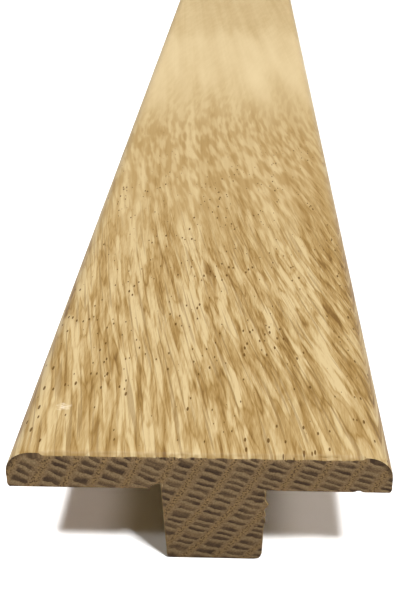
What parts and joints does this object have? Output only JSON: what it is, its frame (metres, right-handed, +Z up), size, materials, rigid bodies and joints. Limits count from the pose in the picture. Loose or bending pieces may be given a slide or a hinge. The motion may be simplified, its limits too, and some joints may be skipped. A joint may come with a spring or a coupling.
{
  "type": "wooden threshold strip",
  "caption": "Solid oak T-section threshold strip: a flat cap with rounded long edges on a narrower stem, laid over the joint between two floors.",
  "frame": {"origin": "bottom centre of the strip's box: midway along its length, midway across the cap, at the height of the stem's foot", "axes": "+Y along the length, away from the near end in the picture; +X across the cap, to the right as seen from that end; +Z up, from the stem's foot to the top face"},
  "size_m": [0.045, 0.9, 0.016],
  "materials": {
    "oak": "planed and sanded oak, clear satin on the cap, bare sawn end grain and stem"
  },
  "bodies": {
    "root": {"threshold_strip": "oak"}
  },
  "joints": []
}
